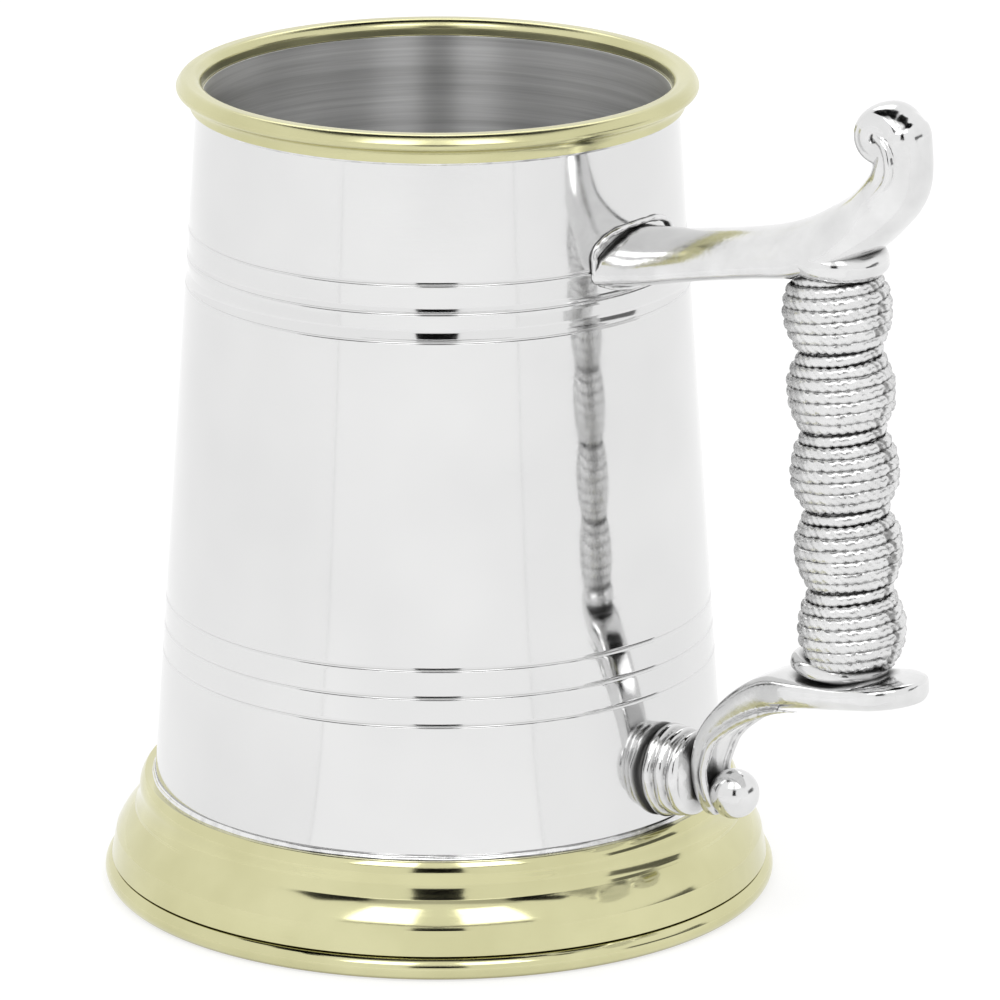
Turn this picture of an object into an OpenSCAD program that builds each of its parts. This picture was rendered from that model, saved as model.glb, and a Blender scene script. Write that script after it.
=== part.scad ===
// A pewter tankard with a brass rim and foot and a cast handle with a bound grip.
// The drum stands on the Z axis with the foot's underside at z = 0, and the handle points along +X.
// The handle is laid out in its own frame: local X is the distance out from the drum's wall,
// and local Z runs up along that sloping wall, so the grip stays parallel to it.

/* [Drum] */
// Overall height, foot to rim crest
body_h = 130; // [105:1:160]
// Outside radius of the drum's wall, carried down to the ground
base_r = 46.2; // [38:0.1:56]
// Outside radius of the drum's wall, carried up to the rim crest
mouth_r = 37.2; // [30:0.1:45]
// Thickness of the drum's wall
wall_t = 1.2; // [0.8:0.1:1.8]
// Height of the inside floor
floor_z = 12; // [10:0.5:14]
// Thickness of the floor disc
floor_t = 1.5; // [1:0.1:2]

/* [Incised rings] */
// Height of the middle one of the three low rings
low_ring_z = 42.9; // [36:0.1:60]
// Drop from the rim crest to the middle one of the three high rings
high_ring_drop = 27.3; // [20:0.1:34]
// Spacing of the rings
ring_pitch = 4.4; // [3:0.1:6]
// Radius of the tool that cuts a ring, and so half of its width
ring_tool_r = 0.4; // [0.2:0.05:0.6]

/* [Rim] */
// Height of the rim moulding
rim_h = 4.7; // [4:0.1:7]
// How far the crown stands out from the drum's wall line
rim_out = 3.35; // [2.6:0.05:4.5]
// Radius of the crown's outer roll
crown_r = 1.4; // [1:0.05:1.6]
// Thickness of the lip under the cove
rim_lip_t = 0.9; // [0.5:0.05:1.2]

/* [Foot] */
// Height of the top of the brass moulding
foot_h = 16.9; // [15:0.1:20]
// How far the bead ring stands out from the drum's wall line at the ground
bead_out = 6.95; // [5:0.05:9]
// Radius of the bead ring's wire
bead_r = 1.9; // [1.4:0.05:2.4]
// Radius of the roll at the top of the moulding
roll_r = 1.5; // [1:0.05:1.8]
// How far the neck under the roll stands out from the drum's wall
neck_out = 2.5; // [1.6:0.05:3]

/* [Grip] */
// Distance from the drum's wall to the grip's axis
grip_u = 36.6; // [30:0.1:44]
// Height of the grip's lower end, along the wall
grip_low_v = 46.6; // [42:0.1:60]
// Radius over the binding at the middle of a bulb
bulb_r = 8.5; // [6.5:0.05:10]
// How far each bulb bulges past its waists
bulge = 2.3; // [1.4:0.1:3]
// Number of bulbs
bulbs = 5; // [3:1:6]
// Turns of binding on each bulb
turns = 7; // [5:1:9]

/* [Handle castings] */
// Drop from the rim crest to the arm's root, along the wall
arm_drop = 22.3; // [20:0.1:30]
// Half width of the arm where it meets its pad
arm_root_w = 10.4; // [8:0.1:13]
// Half width of the arm over the grip
arm_w = 6.9; // [5:0.1:8.5]
// Half thickness of the arm
arm_t = 3.8; // [3:0.1:4.6]
// Radius of the curl at the top of the horn
curl_r = 5.2; // [4.4:0.1:6.4]
// Half width of the curl
curl_w = 4.1; // [3.2:0.1:5]
// Thickness of the upper pad
pad_t = 0.9; // [0.6:0.1:1.6]
// How far the upper pad shows round the arm
pad_margin = 0.4; // [0.2:0.1:1.2]
// How far the upper ferrule stands out past the end of the grip
upper_ferrule_out = 2.1; // [1:0.1:4]
// How far the lower ferrule stands out past the end of the grip
lower_ferrule_out = 1.9; // [1:0.1:4]
// How far the ferrules lean, outer side down
ferrule_tilt = 7; // [0:1:10]
// Half width of the tongue under the grip
tongue_w = 7.6; // [6:0.1:9]
// Half thickness of the tongue
tongue_t = 2.3; // [1.8:0.1:2.8]
// Height of the boss's centre, along the wall
boss_v = 25.6; // [24:0.1:30]
// Radius of the boss's largest reed
boss_r = 7.3; // [6:0.1:8]
// Radius of the ball that ends the scroll
ball_r = 3.8; // [3:0.1:4.5]

/* [Hidden] */
$fn = 128;

pewter = "gainsboro";
cast_pewter = "lightgray";
brass = "palegoldenrod";
solder = "whitesmoke";

// The drum
wall_slope = atan((base_r - mouth_r) / body_h);
rim_overlap = 2.5;
drum_top_z = body_h - rim_overlap;
floor_set_in = 0.6;
drum_low_z = floor_z - floor_t - floor_set_in;

// The rim, from the crest down
rim_low_z = body_h - rim_h;
crown_edge_r = wall_r(body_h) + rim_out;
crest_round = 1;
crest_r = wall_r(body_h) - 0.3;
cove_r = 1.9;
inner_lip_t = 0.3;
rim_solder_h = 0.5;

// The foot, from the ground up
bead_sink = 0.1;
bead_centre = [base_r + bead_out - bead_r, bead_r - bead_sink];
bead_top_z = 2 * bead_r - 3 * bead_sink;
bead_top_w = sqrt(bead_r * bead_r - (bead_top_z - bead_centre.y) * (bead_top_z - bead_centre.y));
band_r = bead_centre.x + bead_top_w;
shoulder_z = 7.5;
shoulder_r = band_r - 0.8;
shoulder_arc_r = 12;
shoulder_from = 21;
shoulder_to = 46;
neck_r = wall_r(foot_h) + neck_out;
neck_z = foot_h - 2.3;
roll_centre = [neck_r + 0.1 - roll_r, foot_h - roll_r + 0.1];
sheet_t = 1.5;
foot_solder_h = 0.8;
foot_solder_w = 1.2;

// The grip
arm_v = body_h / cos(wall_slope) - arm_drop;
grip_top_v = arm_v + 0.4;
bulb_h = (grip_top_v - grip_low_v) / bulbs;
bulb_arc_r = (bulb_h * bulb_h / 4 + bulge * bulge) / (2 * bulge);
bulb_arc_u = bulb_r - bulb_arc_r;
rope_pitch_r = bulb_arc_r * asin(bulb_h / 2 / bulb_arc_r) * PI / 180 / turns;
rope_r = 1.04 * rope_pitch_r;
rope_line_r = bulb_arc_r - rope_r;
core_arc_r = rope_line_r - 0.75 * rope_r;
waist_r = bulb_r - bulge;

// The arm, as stations of [out, up, half thickness, half width]
arm_root_extra_t = 0.4;
curl_centre = [grip_u + 11.4, arm_v + 21.7];
arm_stations = [
    [-4, arm_v - 0.3, arm_t + 0.8, arm_root_w + 1],
    [1, arm_v - 0.2, arm_t + arm_root_extra_t, arm_root_w],
    [0.18 * grip_u, arm_v + 0.2, arm_t + 0.1, arm_root_w - 0.9],
    [0.36 * grip_u, arm_v + 1, arm_t - 0.1, arm_w + 1.9],
    [0.68 * grip_u, arm_v + 2.7, arm_t, arm_w + 0.7],
    [grip_u - 4, arm_v + 4.4, arm_t + 0.1, arm_w + 0.2],
    [grip_u + 2.6, arm_v + 6.8, arm_t + 0.4, arm_w - 0.5],
    [grip_u + 8.1, arm_v + 9.9, arm_t + 0.7, arm_w - 1.1],
    [grip_u + 12.2, arm_v + 14.8, arm_t + 0.7, curl_w + 0.9],
    [curl_centre.x + 1.3, curl_centre.y - 1.5, curl_r - 1.1, curl_w + 0.1]
];

// The lower bracket, from the scroll's end up to the tongue's tip
tongue_v = grip_low_v - 3.8;
tongue_rise = 0.09;
tip_u = grip_u + 4.6;
ball_centre = [12.9, boss_v - 2.3];
bracket_stations = [
    [ball_centre.x - 2, ball_centre.y - 2.2, 1.2, 2.6],
    [9.3, boss_v - 3.9, 1.5, 2.9],
    [8.1, boss_v + 0.2, 1.7, 3.2],
    [8.8, boss_v + 3.9, 1.8, 3.6],
    [11.1, boss_v + 8.2, 2, 4.1],
    [16.7, tongue_v - 4.4, 2.6, 4.9],
    [22.8, tongue_v - 1.4, 3, 5.8],
    [28.5, tongue_v - 0.4, 2.7, tongue_w - 0.5],
    [grip_u, tongue_v, tongue_t, tongue_w],
    [tip_u, tongue_v + tongue_rise * (tip_u - grip_u), tongue_t, tongue_w]
];

// The reeds of the boss, outward from the drum
reed_count = 3;
reed_step = 0.25;
boss_len = 6.4;
reed_r = boss_len / reed_count / 2;

// Outside radius of the drum's wall at a height
function wall_r(z) = base_r + (mouth_r - base_r) * z / body_h;

// Points along an arc
function arc(centre, r, from, to, steps = 12) = [
    for (i = [0:steps]) centre + r * [cos(from + (to - from) * i / steps), sin(from + (to - from) * i / steps)]
];

// A smooth curve through stations of any length
function between(a, b, c, d, t) =
    0.5 * (2 * b + (c - a) * t + (2 * a - 5 * b + 4 * c - d) * t * t + (3 * b - a - 3 * c + d) * t * t * t);
function curve(stations, steps) = [
    for (i = [0:len(stations) - 2])
        for (k = [0:steps - 1])
            between(
                stations[max(i - 1, 0)], stations[i], stations[i + 1],
                stations[min(i + 2, len(stations) - 1)], k / steps
            ),
    stations[len(stations) - 1]
];

// The unit normal of a path of stations at one of them, in the handle's plane
function path_normal(path, i) =
    let (a = path[max(i - 1, 0)], b = path[min(i + 1, len(path) - 1)], d = [b.x - a.x, b.y - a.y])
    [-d.y, d.x] / norm(d);

// One cross-section: a rounded box when power is under 1, an ellipse at 1
function section_at(path, i, sides, power) =
    let (p = path[i], n = path_normal(path, i)) [
        for (k = [0:sides - 1])
            let (
                c = cos(360 * k / sides),
                s = sin(360 * k / sides),
                across = p[3] * sign(c) * pow(abs(c), power),
                up = p.z * sign(s) * pow(abs(s), power)
            )
            [p.x + up * n.x, across, p.y + up * n.y]
    ];

// A solid swept through the cross-sections of a path
module sweep(path, sides = 28, power = 0.8) {
    points = [for (i = [0:len(path) - 1]) each section_at(path, i, sides, power)];
    last = (len(path) - 1) * sides;
    skin = [
        for (i = [0:len(path) - 2])
            for (k = [0:sides - 1])
                let (a = i * sides + k, b = i * sides + (k + 1) % sides)
                    each [[a, a + sides, b], [b, a + sides, b + sides]]
    ];
    caps = [[for (k = [0:sides - 1]) k], [for (k = [sides - 1:-1:0]) last + k]];
    polyhedron(points = points, faces = concat(skin, caps), convexity = 6);
}

module handle_frame() {
    translate([base_r, 0, 0])
        rotate([0, -wall_slope, 0])
            children();
}

// A solid that fills the drum's outline, grown by a margin
module drum_filled(margin = 0) {
    rotate_extrude()
        polygon([
            [0, -1], [wall_r(-1) + margin, -1],
            [wall_r(body_h + 1) + margin, body_h + 1], [0, body_h + 1]
        ]);
}

module drum() {
    ring_heights = [
        for (middle = [low_ring_z, body_h - high_ring_drop])
            for (k = [-1:1])
                middle + k * ring_pitch
    ];
    color(pewter)
        rotate_extrude()
            difference() {
                polygon([
                    [wall_r(drum_low_z) - wall_t, drum_low_z], [wall_r(drum_low_z), drum_low_z],
                    [wall_r(drum_top_z), drum_top_z], [wall_r(drum_top_z) - wall_t, drum_top_z]
                ]);
                for (z = ring_heights)
                    translate([wall_r(z) + ring_tool_r / 3, z])
                        circle(r = ring_tool_r, $fn = 24);
            }
}

module drum_floor() {
    low_z = floor_z - floor_t;
    color(pewter)
        rotate_extrude()
            polygon([
                [0, low_z], [wall_r(low_z) - wall_t, low_z],
                [wall_r(floor_z) - wall_t, floor_z], [0, floor_z]
            ]);
}

// The crown, a cove under it and a thin lip against the drum
module rim_moulding() {
    lip_r = wall_r(rim_low_z) + rim_lip_t;
    cove_centre = [lip_r + cove_r, rim_low_z + 0.9];
    inner_r = wall_r(drum_top_z) - wall_t + inner_lip_t;
    color(brass)
        rotate_extrude()
            polygon(concat(
                [[wall_r(rim_low_z), rim_low_z], [lip_r, rim_low_z]],
                arc(cove_centre, cove_r, 180, 110, 8),
                arc([crown_edge_r - crown_r, body_h - crown_r], crown_r, -35, 90, 14),
                arc([crest_r + crest_round, body_h - crest_round], crest_round, 90, 180, 8),
                [[inner_r, drum_top_z], [wall_r(drum_top_z), drum_top_z]]
            ));
}

module rim_solder() {
    low_z = rim_low_z - rim_solder_h;
    color(solder)
        rotate_extrude()
            polygon([
                [wall_r(low_z), low_z], [wall_r(rim_low_z) + rim_lip_t * 0.6, rim_low_z],
                [wall_r(rim_low_z), rim_low_z]
            ]);
}

// Band, shoulder, cove and neck in one outline, with the roll on top
module foot_moulding() {
    shoulder_centre = [shoulder_r, shoulder_z] - shoulder_arc_r * [cos(shoulder_from), sin(shoulder_from)];
    shoulder_top = shoulder_centre + shoulder_arc_r * [cos(shoulder_to), sin(shoulder_to)];
    cove_to = 27;
    cove_arc_r = (neck_z - shoulder_top.y) / sin(cove_to);
    cove_centre = [neck_r + cove_arc_r, neck_z];
    roll_from = -70;
    roll_to = 68;
    color(brass)
        rotate_extrude()
            polygon(concat(
                [[band_r - sheet_t, bead_top_z], [band_r, bead_top_z]],
                arc(shoulder_centre, shoulder_arc_r, shoulder_from, shoulder_to, 10),
                arc(cove_centre, cove_arc_r, 180 + cove_to - 2, 182, 8),
                arc(roll_centre, roll_r, roll_from, roll_to, 14),
                [
                    [wall_r(foot_h), foot_h], [wall_r(neck_z - sheet_t), neck_z - sheet_t],
                    shoulder_top - [sheet_t, sheet_t], [shoulder_r - sheet_t, shoulder_z]
                ]
            ));
}

module foot_ring() {
    low_w = sqrt(bead_r * bead_r - bead_centre.y * bead_centre.y);
    turn = acos(low_w / bead_r);
    turn_top = acos(bead_top_w / bead_r);
    color(brass)
        rotate_extrude()
            polygon(concat(
                arc(bead_centre, bead_r, -turn, turn_top, 18),
                arc(bead_centre, bead_r, 180 - turn_top, 180 + turn, 18)
            ));
}

module foot_solder() {
    top_z = foot_h + foot_solder_h;
    color(solder)
        rotate_extrude()
            polygon([
                [wall_r(foot_h), foot_h], [wall_r(foot_h) + foot_solder_w, foot_h],
                [wall_r(foot_h) + foot_solder_w * 0.4, foot_h + foot_solder_h * 0.35],
                [wall_r(top_z), top_z]
            ]);
}

module arm_solid() {
    sweep(curve(arm_stations, 5), 28, 0.8);
}

module curl_solid() {
    round_r = 2.6;
    translate([curl_centre.x, 0, curl_centre.y])
        rotate([90, 0, 0])
            rotate_extrude()
                polygon(concat(
                    [[0, -curl_w]],
                    arc([curl_r - round_r, round_r - curl_w], round_r, -90, 0, 8),
                    arc([curl_r - round_r, curl_w - round_r], round_r, 0, 90, 8),
                    [[0, curl_w]]
                ));
}

module bracket_solid() {
    tip = bracket_stations[len(bracket_stations) - 1];
    round_tip = [
        for (a = [12:12:84])
            [
                tip.x + tongue_w * sin(a), tip.y + tongue_rise * tongue_w * sin(a),
                tongue_t * (0.55 + 0.45 * cos(a)), tongue_w * cos(a)
            ]
    ];
    sweep(concat(curve(bracket_stations, 4), round_tip), 28, 0.7);
}

// A shell on the drum's wall behind the arm
module upper_pad() {
    color(cast_pewter)
        difference() {
            intersection() {
                drum_filled(pad_t);
                handle_frame()
                    translate([0, 0, arm_v - 0.2])
                        rotate([90, 0, 90])
                            linear_extrude(height = arm_root_w, center = true)
                                pad_outline();
            }
            drum_filled();
        }
}

module pad_outline() {
    w = arm_root_w + pad_margin;
    h = arm_t + arm_root_extra_t + pad_margin;
    corner = h - 0.5;
    square([2 * (w - corner), 2 * h], center = true);
    square([2 * w, 2 * (h - corner)], center = true);
    for (x = [-1, 1])
        for (y = [-1, 1])
            translate([x * (w - corner), y * (h - corner)])
                circle(r = corner, $fn = 48);
}

module thumb_arm() {
    color(cast_pewter)
        difference() {
            handle_frame()
                arm_solid();
            drum_filled(pad_t);
            handle_frame() {
                curl_solid();
                grip_envelope();
            }
        }
}

module horn_curl() {
    color(cast_pewter)
        handle_frame()
            curl_solid();
}

// A leaning disc with a rounded edge, out on the handle
module ferrule_blank(u, v, r, half_t) {
    translate([u, 0, v])
        rotate([0, ferrule_tilt, 0])
            rotate_extrude()
                polygon(concat([[0, -half_t]], arc([r - half_t, 0], half_t, -90, 90, 12), [[0, half_t]]));
}

// What the bound grip takes up, waists and all
module grip_envelope() {
    translate([grip_u, 0, 0])
        rotate_extrude()
            bulbs_outline(bulb_arc_r);
}

module upper_ferrule() {
    color(cast_pewter)
        handle_frame()
            difference() {
                ferrule_blank(grip_u, grip_top_v + 2.1, waist_r + upper_ferrule_out, 2.6);
                arm_solid();
                grip_envelope();
            }
}

module lower_ferrule() {
    color(cast_pewter)
        handle_frame()
            difference() {
                ferrule_blank(grip_u - 2.6, grip_low_v - 0.2, waist_r + lower_ferrule_out, 1.5);
                bracket_solid();
                grip_envelope();
            }
}

// The bulbs' outline from the grip's axis out to an arc of the given radius
module bulbs_outline(arc_r) {
    half = asin(bulb_h / 2 / arc_r);
    polygon(concat(
        [[0, grip_low_v]],
        [
            for (i = [0:bulbs - 1])
                each arc([bulb_arc_u, grip_low_v + (i + 0.5) * bulb_h], arc_r, -half, half, 10)
        ],
        [[0, grip_top_v]]
    ));
}

module grip_core() {
    color(cast_pewter)
        handle_frame()
            translate([grip_u, 0, 0])
                rotate_extrude()
                    bulbs_outline(core_arc_r);
}

module grip_binding() {
    sweep_angle = 2 * asin(bulb_h / 2 / bulb_arc_r);
    color(cast_pewter)
        handle_frame()
            translate([grip_u, 0, 0])
                rotate_extrude()
                    difference() {
                        for (i = [0:bulbs - 1])
                            for (k = [0:turns - 1])
                                let (a = sweep_angle * ((k + 0.5) / turns - 0.5))
                                    translate([
                                        bulb_arc_u + rope_line_r * cos(a),
                                        grip_low_v + (i + 0.5) * bulb_h + rope_line_r * sin(a)
                                    ])
                                        circle(r = rope_r, $fn = 32);
                        bulbs_outline(core_arc_r);
                        translate([0, grip_low_v - bulb_h])
                            square([2 * bulb_r, bulb_h]);
                        translate([0, grip_top_v])
                            square([2 * bulb_r, bulb_h]);
                    }
}

module lower_bracket() {
    color(cast_pewter)
        handle_frame()
            difference() {
                bracket_solid();
                ball_solid();
            }
}

module ball_solid() {
    translate([ball_centre.x, 0, ball_centre.y])
        sphere(r = ball_r, $fn = 48);
}

module scroll_ball() {
    color(cast_pewter)
        handle_frame()
            ball_solid();
}

// Rounded reeds on a horizontal axis, from the drum's wall to the scroll
module reeded_boss() {
    color(cast_pewter)
        difference() {
            handle_frame()
                translate([0, 0, boss_v])
                    rotate([0, 90, 0])
                        rotate_extrude()
                            polygon(concat(
                                [[0, -2], [boss_r - reed_r, -2]],
                                [
                                    for (i = [0:reed_count - 1])
                                        each arc(
                                            [boss_r - reed_r - i * reed_step, reed_r * (2 * i + 1)],
                                            reed_r, -80, 80, 10
                                        )
                                ],
                                [[0, boss_len]]
                            ));
            drum_filled();
            handle_frame()
                bracket_solid();
        }
}

drum();
drum_floor();
rim_moulding();
rim_solder();
foot_moulding();
foot_ring();
foot_solder();
upper_pad();
thumb_arm();
horn_curl();
upper_ferrule();
grip_core();
grip_binding();
lower_ferrule();
lower_bracket();
scroll_ball();
reeded_boss();
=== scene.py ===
"""The looks of the pewter tankard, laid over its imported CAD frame."""
from math import asin, atan2, cos, degrees, hypot, pi, radians, sin, sqrt, tan

import bmesh
import bpy
from mathutils import Matrix, Vector, noise

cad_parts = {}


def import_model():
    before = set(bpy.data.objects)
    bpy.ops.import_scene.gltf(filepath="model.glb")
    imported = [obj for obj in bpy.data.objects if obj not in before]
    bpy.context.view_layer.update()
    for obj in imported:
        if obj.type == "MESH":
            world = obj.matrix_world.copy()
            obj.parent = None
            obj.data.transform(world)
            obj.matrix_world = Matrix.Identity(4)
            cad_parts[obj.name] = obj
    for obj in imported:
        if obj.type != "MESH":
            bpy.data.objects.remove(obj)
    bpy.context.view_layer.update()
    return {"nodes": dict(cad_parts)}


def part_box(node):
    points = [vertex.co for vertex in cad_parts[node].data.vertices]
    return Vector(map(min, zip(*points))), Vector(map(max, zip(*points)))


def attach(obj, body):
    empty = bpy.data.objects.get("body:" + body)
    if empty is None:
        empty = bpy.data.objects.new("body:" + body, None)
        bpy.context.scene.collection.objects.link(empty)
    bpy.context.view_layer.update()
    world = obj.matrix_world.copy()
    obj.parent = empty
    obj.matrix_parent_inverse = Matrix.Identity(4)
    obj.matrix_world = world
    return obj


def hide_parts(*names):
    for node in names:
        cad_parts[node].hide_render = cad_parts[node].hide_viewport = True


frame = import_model()
scene = bpy.context.scene
MM = 0.001

# Driving sizes of the design, in millimetres
BASE_R, MOUTH_R = 46.2, 37.2
WALL_T = 1.2
LOW_RING_Z, HIGH_RING_DROP, RING_PITCH = 42.9, 27.3, 4.4
GRIP_U, GRIP_LOW_V = 36.6, 46.6
BULB_R, BULGE, BULBS, TURNS = 8.5, 2.3, 5, 7
ARM_DROP = 22.3
ARM_ROOT_W, ARM_W, ARM_T = 10.4, 6.9, 3.8
CURL_R, CURL_W = 5.2, 4.1
FERRULE_TILT = 7
TONGUE_W, TONGUE_T = 7.6, 2.3
BOSS_V, BOSS_R, BOSS_LEN = 25.6, 7.3, 6.4
BALL_R = 3.8
BALL_U, BALL_V = 12.9, BOSS_V - 2.3
BEAD_R = 1.9


def low(node):
    """Lowest corner of a CAD node, in millimetres."""
    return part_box(node)[0] / MM


def high(node):
    """Highest corner of a CAD node, in millimetres."""
    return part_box(node)[1] / MM


BODY_H = high("rim_moulding").z
RIM_LOW_Z = low("rim_moulding").z
FOOT_TOP_Z = high("foot_moulding").z
WALL_SLOPE = atan2(BASE_R - MOUTH_R, BODY_H)
ARM_V = BODY_H / cos(WALL_SLOPE) - ARM_DROP
GRIP_TOP_V = ARM_V + 0.4
WAIST_R = BULB_R - BULGE


def wall_r(z):
    """Outside radius of the drum's wall at a height."""
    return BASE_R + (MOUTH_R - BASE_R) * z / BODY_H


def on_handle(u, y, v):
    """A place given out from the wall, across, and up along the wall, in the shared frame."""
    return Vector((
        BASE_R + u * cos(WALL_SLOPE) - v * sin(WALL_SLOPE), y,
        u * sin(WALL_SLOPE) + v * cos(WALL_SLOPE)
    ))


# ---------------------------------------------------------------- materials

class Recipe:
    """A node material with its Principled shader, built up by short calls."""

    def __init__(self, name):
        self.material = bpy.data.materials.new(name)
        self.material.use_nodes = True
        self.tree = self.material.node_tree
        self.shader = self.tree.nodes["Principled BSDF"]
        self.place = self.tree.nodes.new("ShaderNodeTexCoord").outputs["Object"]

    def node(self, kind, **settings):
        made = self.tree.nodes.new(kind)
        for key, value in settings.items():
            setattr(made, key, value)
        return made

    def link(self, source, target):
        self.tree.links.new(source, target)

    def set(self, **values):
        for key, value in values.items():
            self.shader.inputs[key.replace("_", " ")].default_value = value

    def scaled(self, scale):
        mapping = self.node("ShaderNodeMapping")
        mapping.inputs["Scale"].default_value = scale
        self.link(self.place, mapping.inputs["Vector"])
        return mapping.outputs["Vector"]

    def noise(self, size_mm, stretch=(1, 1, 1), detail=3, roughness=0.5):
        """Noise whose features are about size_mm across, stretched by axis."""
        made = self.node("ShaderNodeTexNoise")
        made.inputs["Scale"].default_value = 1 / (size_mm * MM)
        made.inputs["Detail"].default_value = detail
        made.inputs["Roughness"].default_value = roughness
        self.link(self.scaled(tuple(1 / s for s in stretch)), made.inputs["Vector"])
        return made.outputs["Fac"]

    def ramp(self, source, stops):
        made = self.node("ShaderNodeValToRGB")
        points = made.color_ramp.elements
        while len(points) < len(stops):
            points.new(0.5)
        for point, (at, colour) in zip(points, stops):
            point.position = at
            point.color = (*colour, 1)
        self.link(source, made.inputs["Fac"])
        return made.outputs["Color"]

    def spread(self, source, low_to, high_to, low_from=0.3, high_from=0.7):
        made = self.node("ShaderNodeMapRange")
        made.inputs["From Min"].default_value = low_from
        made.inputs["From Max"].default_value = high_from
        made.inputs["To Min"].default_value = low_to
        made.inputs["To Max"].default_value = high_to
        self.link(source, made.inputs["Value"])
        return made.outputs["Result"]

    def mix(self, factor, a, b):
        made = self.node("ShaderNodeMix", data_type="RGBA")
        self.link(factor, made.inputs["Factor"])
        for socket, value in ((made.inputs[6], a), (made.inputs[7], b)):
            if isinstance(value, tuple):
                socket.default_value = (*value, 1)
            else:
                self.link(value, socket)
        return made.outputs[2]

    def most(self, a, b):
        made = self.node("ShaderNodeMath", operation="MAXIMUM")
        self.link(a, made.inputs[0])
        self.link(b, made.inputs[1])
        return made.outputs[0]

    def recess(self, reach_mm, shut, open_at):
        """One deep in recesses narrower than reach_mm, and nought on open surfaces."""
        made = self.node("ShaderNodeAmbientOcclusion", samples=8)
        made.inputs["Distance"].default_value = reach_mm * MM
        return self.spread(made.outputs["AO"], 1, 0, shut, open_at)

    def bump(self, layers):
        """Bumps one over another, from pairs of a height source and a depth in millimetres."""
        normal = None
        for source, depth_mm in layers:
            made = self.node("ShaderNodeBump")
            made.inputs["Distance"].default_value = depth_mm * MM
            self.link(source, made.inputs["Height"])
            if normal:
                self.link(normal, made.inputs["Normal"])
            normal = made.outputs["Normal"]
        self.link(normal, self.shader.inputs["Normal"])


def shade(value, tint=(1, 1, 1)):
    return tuple(value * t for t in tint)


def polished_pewter():
    recipe = Recipe("polished_pewter")
    recipe.set(Metallic=1)
    cloud = recipe.noise(26, detail=2)
    polish = recipe.noise(0.5, stretch=(40, 40, 1), detail=4)
    smear = recipe.noise(5, stretch=(4, 4, 1), detail=4, roughness=0.6)
    recipe.link(
        recipe.ramp(cloud, [(0.3, shade(0.695)), (0.7, shade(0.74, (1, 1, 0.997)))]),
        recipe.shader.inputs["Base Color"]
    )
    recipe.link(recipe.spread(recipe.most(polish, smear), 0.045, 0.12), recipe.shader.inputs["Roughness"])
    recipe.bump([(polish, 0.0006), (cloud, 0.012)])
    return recipe.material


def machined_pewter():
    """The inside of the drum, turned and left satin with fine rings."""
    recipe = Recipe("machined_pewter")
    recipe.set(Metallic=1, Anisotropic=1, Anisotropic_Rotation=0.25)
    around = recipe.node("ShaderNodeTangent", direction_type="RADIAL", axis="Z")
    recipe.link(around.outputs["Tangent"], recipe.shader.inputs["Tangent"])
    rings = recipe.noise(1.1, stretch=(60, 60, 1), detail=5, roughness=0.65)
    fine = recipe.noise(0.35, stretch=(90, 90, 1), detail=3)
    cloud = recipe.noise(20, detail=3)
    recipe.link(
        recipe.ramp(rings, [(0.3, shade(0.5)), (0.7, shade(0.76))]), recipe.shader.inputs["Base Color"]
    )
    recipe.link(recipe.spread(recipe.most(rings, cloud), 0.38, 0.46), recipe.shader.inputs["Roughness"])
    recipe.bump([(rings, 0.012), (fine, 0.004)])
    return recipe.material


def cast_pewter(
    name, hollow_mm=2.2, lumps_mm=0.04, shut=0.3, open_at=0.8, dark=0.07, roped=False,
    gloss_range=(0.09, 0.18)
):
    """Bright cast metal, dark in its patinated hollows; on rope, also darkened between the strands with
    painted shade, and down its outer side with painted shade.
    """
    recipe = Recipe(name)
    recipe.set(Metallic=1)
    cloud = recipe.noise(5, detail=3)
    grain = recipe.noise(0.7, detail=4, roughness=0.6)
    bright = recipe.ramp(cloud, [(0.3, shade(0.68)), (0.7, shade(0.76))])
    patina_and_shade = recipe.recess(hollow_mm, shut, open_at)
    if roped:
        # On rope, a mesh attribute darkens the patinated hollows between the strands with painted shade
        # too, and the outer side with painted shade
        strands = recipe.node("ShaderNodeAttribute", attribute_name="groove_and_shade").outputs["Fac"]
        patina_and_shade = recipe.most(patina_and_shade, recipe.spread(strands, 0, 0.75, 0.55, 0.95))
    colour = recipe.mix(patina_and_shade, bright, shade(dark, (1, 0.99, 0.98)))
    recipe.link(colour, recipe.shader.inputs["Base Color"])
    gloss = recipe.spread(grain, *gloss_range)
    recipe.link(recipe.most(gloss, recipe.spread(patina_and_shade, 0, 0.5, 0, 1)), recipe.shader.inputs["Roughness"])
    recipe.bump([(cloud, lumps_mm), (grain, 0.006)])
    return recipe.material


def brass(name, gloss_range):
    recipe = Recipe(name)
    recipe.set(Metallic=1)
    cloud = recipe.noise(18, detail=3)
    spun = recipe.noise(0.4, stretch=(60, 60, 1), detail=4)
    # Dark brown in the creases and recesses, found by ambient occlusion: painted shade for the dark lines
    # in the mouldings' creases
    crease_shade = recipe.recess(1.6, 0.2, 0.62)
    bright = recipe.ramp(cloud, [(0.3, (0.55, 0.53, 0.3)), (0.7, (0.645, 0.625, 0.375))])
    recipe.link(recipe.mix(crease_shade, bright, (0.26, 0.235, 0.11)), recipe.shader.inputs["Base Color"])
    recipe.link(recipe.spread(recipe.most(spun, cloud), *gloss_range), recipe.shader.inputs["Roughness"])
    recipe.bump([(spun, 0.001), (cloud, 0.012)])
    return recipe.material


def soft_solder():
    recipe = Recipe("solder")
    recipe.set(Metallic=1)
    lumps = recipe.noise(1.6, detail=4, roughness=0.6)
    recipe.link(
        recipe.ramp(lumps, [(0.3, shade(0.62)), (0.5, shade(0.78)), (0.8, shade(0.85))]),
        recipe.shader.inputs["Base Color"]
    )
    recipe.link(recipe.spread(lumps, 0.14, 0.3), recipe.shader.inputs["Roughness"])
    recipe.bump([(lumps, 0.02)])
    return recipe.material


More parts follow.
